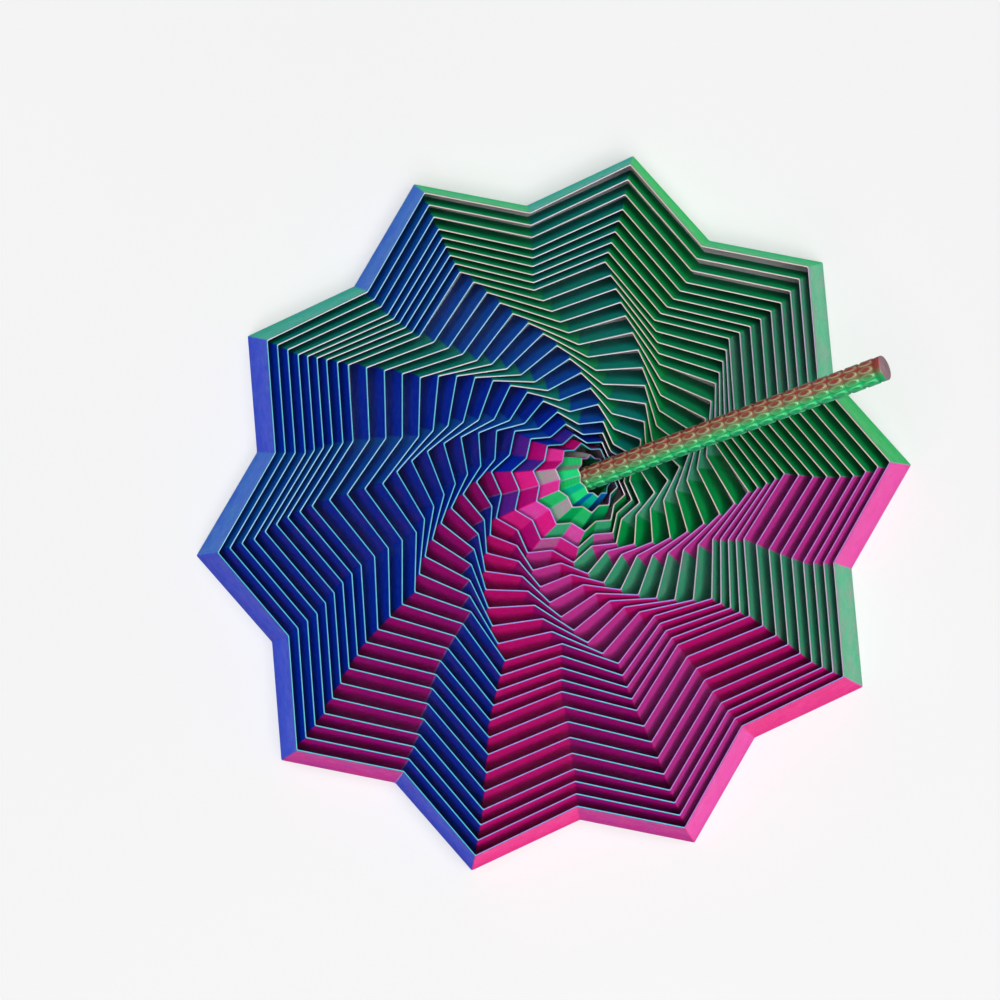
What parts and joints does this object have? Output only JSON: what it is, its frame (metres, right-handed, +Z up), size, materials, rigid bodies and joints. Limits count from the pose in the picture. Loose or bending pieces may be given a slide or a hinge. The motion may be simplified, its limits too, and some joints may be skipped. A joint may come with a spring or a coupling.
{
  "type": "nested star ring fidget toy",
  "caption": "Flat nest of tapered star rings that lift, turn and rock in one another, with a knobbly stick leaning out of the smallest ring.",
  "frame": {"origin": "centre of the outermost ring's foot, on the table", "axes": "+Z up, out of the nest; the stick leans towards +X and slightly +Y"},
  "size_m": [0.1978, 0.198, 0.0677],
  "materials": {
    "silk_ring": "satin silk print, colour turning from blue through green to pink with the wall's direction",
    "silk_stick": "satin silk print, green on one side and brownish red on the other"
  },
  "bodies": {
    "ring_01": {"ring_01": "silk_ring"},
    "ring_02": {"ring_02": "silk_ring"},
    "ring_03": {"ring_03": "silk_ring"},
    "ring_04": {"ring_04": "silk_ring"},
    "ring_05": {"ring_05": "silk_ring"},
    "ring_06": {"ring_06": "silk_ring"},
    "ring_07": {"ring_07": "silk_ring"},
    "ring_08": {"ring_08": "silk_ring"},
    "ring_09": {"ring_09": "silk_ring"},
    "ring_10": {"ring_10": "silk_ring"},
    "ring_11": {"ring_11": "silk_ring"},
    "ring_12": {"ring_12": "silk_ring"},
    "ring_13": {"ring_13": "silk_ring"},
    "ring_14": {"ring_14": "silk_ring"},
    "ring_15": {"ring_15": "silk_ring"},
    "ring_16": {"ring_16": "silk_ring"},
    "ring_17": {"ring_17": "silk_ring"},
    "ring_18": {"ring_18": "silk_ring"},
    "ring_19": {"ring_19": "silk_ring"},
    "ring_20": {"ring_20": "silk_ring"},
    "ring_21": {"ring_21": "silk_ring"},
    "ring_22": {"ring_22": "silk_ring"},
    "ring_23": {"ring_23": "silk_ring"},
    "ring_24": {"ring_24": "silk_ring"},
    "ring_25": {"ring_25": "silk_ring"},
    "stick": {"stick": "silk_stick"}
  },
  "joints": [
    {"name": "ring_02_lift", "type": "slide", "parent": "ring_01", "child": "ring_02", "axis": [0, 0, 1], "range_m": [0, 0.0035]},
    {"name": "ring_03_lift", "type": "slide", "parent": "ring_02", "child": "ring_03", "axis": [0, 0, 1], "range_m": [0, 0.00375]},
    {"name": "ring_04_lift", "type": "slide", "parent": "ring_03", "child": "ring_04", "axis": [0, 0, 1], "range_m": [0, 0.004]},
    {"name": "ring_05_lift", "type": "slide", "parent": "ring_04", "child": "ring_05", "axis": [0.068, -0.2158, 0.9741], "range_m": [0, 0.00436]},
    {"name": "ring_06_lift", "type": "slide", "parent": "ring_05", "child": "ring_06", "axis": [0.0647, -0.2053, 0.9766], "range_m": [0, 0.00461]},
    {"name": "ring_07_lift", "type": "slide", "parent": "ring_06", "child": "ring_07", "axis": [0.0617, -0.1958, 0.9787], "range_m": [0, 0.00485]},
    {"name": "ring_08_lift", "type": "slide", "parent": "ring_07", "child": "ring_08", "axis": [0.0516, -0.1635, 0.9852], "range_m": [0, 0.00584]},
    {"name": "ring_09_lift", "type": "slide", "parent": "ring_08", "child": "ring_09", "axis": [0.0497, -0.1576, 0.9863], "range_m": [0, 0.00608]},
    {"name": "ring_10_lift", "type": "slide", "parent": "ring_09", "child": "ring_10", "axis": [-0.267, -0.0347, 0.9631], "range_m": [0, 0.00441]},
    {"name": "ring_11_lift", "type": "slide", "parent": "ring_10", "child": "ring_11", "axis": [-0.2668, -0.0347, 0.9631], "range_m": [0, 0.00441]},
    {"name": "ring_12_lift", "type": "slide", "parent": "ring_11", "child": "ring_12", "axis": [-0.2666, -0.0346, 0.9632], "range_m": [0, 0.00441]},
    {"name": "ring_13_lift", "type": "slide", "parent": "ring_12", "child": "ring_13", "axis": [-0.2663, -0.0346, 0.9633], "range_m": [0, 0.00441]},
    {"name": "ring_14_turn", "type": "hinge", "parent": "ring_13", "child": "ring_14", "pos_m": [0.00321, 0.00536, 0.0003], "axis": [0, 0, 1], "range_deg": [0, 8]},
    {"name": "ring_15_turn", "type": "hinge", "parent": "ring_14", "child": "ring_15", "pos_m": [0.00321, 0.00536, 0.0006], "axis": [0, 0, 1], "range_deg": [0, 8.5]},
    {"name": "ring_16_turn", "type": "hinge", "parent": "ring_15", "child": "ring_16", "pos_m": [0.00321, 0.00536, 0.0009], "axis": [0, 0, 1], "range_deg": [0, 9.5]},
    {"name": "ring_17_turn", "type": "hinge", "parent": "ring_16", "child": "ring_17", "pos_m": [0.00321, 0.00536, 0.0012], "axis": [0, 0, 1], "range_deg": [0, 10]},
    {"name": "ring_18_turn", "type": "hinge", "parent": "ring_17", "child": "ring_18", "pos_m": [0.00321, 0.00536, 0.0015], "axis": [0, 0, 1], "range_deg": [0, 11.5]},
    {"name": "ring_19_turn", "type": "hinge", "parent": "ring_18", "child": "ring_19", "pos_m": [0.00321, 0.00536, 0.0018], "axis": [0, 0, 1], "range_deg": [0, 12.5]},
    {"name": "ring_20_turn", "type": "hinge", "parent": "ring_19", "child": "ring_20", "pos_m": [0.00321, 0.00536, 0.0021], "axis": [0, 0, 1], "range_deg": [0, 14.5]},
    {"name": "ring_21_turn", "type": "hinge", "parent": "ring_20", "child": "ring_21", "pos_m": [0.00321, 0.00536, 0.0024], "axis": [0, 0, 1], "range_deg": [0, 16.5]},
    {"name": "ring_22_rock", "type": "hinge", "parent": "ring_21", "child": "ring_22", "pos_m": [0.00292, 0.00497, 0.00658], "axis": [-0.3206, 0.9472, 0], "range_deg": [-18, 0]},
    {"name": "ring_23_rock", "type": "hinge", "parent": "ring_22", "child": "ring_23", "pos_m": [0.00298, 0.005, 0.00897], "axis": [-0.3206, 0.9472, 0], "range_deg": [-17, 0]},
    {"name": "ring_24_rock", "type": "hinge", "parent": "ring_23", "child": "ring_24", "pos_m": [0.00278, 0.00554, 0.01051], "axis": [-0.3206, 0.9472, 0], "range_deg": [-17, 0]},
    {"name": "ring_25_rock", "type": "hinge", "parent": "ring_24", "child": "ring_25", "pos_m": [0.00226, 0.00531, 0.01106], "axis": [-0.3206, 0.9472, 0], "range_deg": [-22, 0]},
    {"name": "stick_rock", "type": "hinge", "parent": "ring_25", "child": "stick", "pos_m": [0.00902, 0.0076, 0.01862], "axis": [-0.3206, 0.9472, 0], "range_deg": [-33, 0]}
  ]
}
